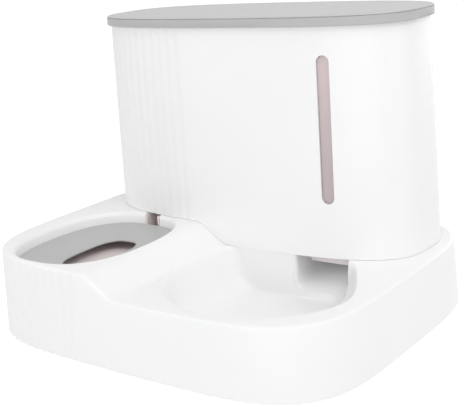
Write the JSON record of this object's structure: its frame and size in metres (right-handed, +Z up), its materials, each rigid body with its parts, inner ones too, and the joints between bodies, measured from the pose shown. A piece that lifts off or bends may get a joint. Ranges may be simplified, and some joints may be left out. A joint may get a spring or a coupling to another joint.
{
  "type": "automatic pet feeder and water dispenser",
  "caption": "White two-level pet station: an oval tower with a grey lid stores water and food and feeds an oval water well and a food bowl by gravity.",
  "frame": {"origin": "on the floor, under the middle of the base", "axes": "+Z up, -Y is the front where the bowls face, +X is the food side on the right seen from the front"},
  "size_m": [0.35, 0.294, 0.2538],
  "materials": {
    "white_shell": "satin moulded plastic",
    "grey_shell": "fine matte moulded plastic",
    "clear_tint": "clear plastic with a tea tint",
    "brown_tint": "translucent brown plastic",
    "soft_seal": "soft silicone",
    "dark_rubber": "matte rubber",
    "spring_steel": "bright drawn wire"
  },
  "bodies": {
    "housing": {"base": "white_shell", "tower_shell": "white_shell", "window_lens": "clear_tint", "lid": "grey_shell", "lid_seal": "soft_seal", "food_bin": "clear_tint", "water_bottle": "clear_tint", "bottle_cap": "white_shell", "cap_gasket": "soft_seal", "valve_spring": "spring_steel", "water_tray": "brown_tint", "splash_ring": "grey_shell", "foot_front_left": "dark_rubber", "foot_front_right": "dark_rubber", "foot_rear_left": "dark_rubber", "foot_rear_right": "dark_rubber"},
    "plunger": {"valve_plunger": "white_shell", "valve_seal": "dark_rubber"}
  },
  "joints": [
    {"name": "valve_lift", "type": "slide", "parent": "housing", "child": "plunger", "axis": [0, 0, 1], "range_m": [0, 0.002], "stiffness_N_per_m": 150, "springref_m": -0.002, "deforming": ["valve_spring"]}
  ]
}
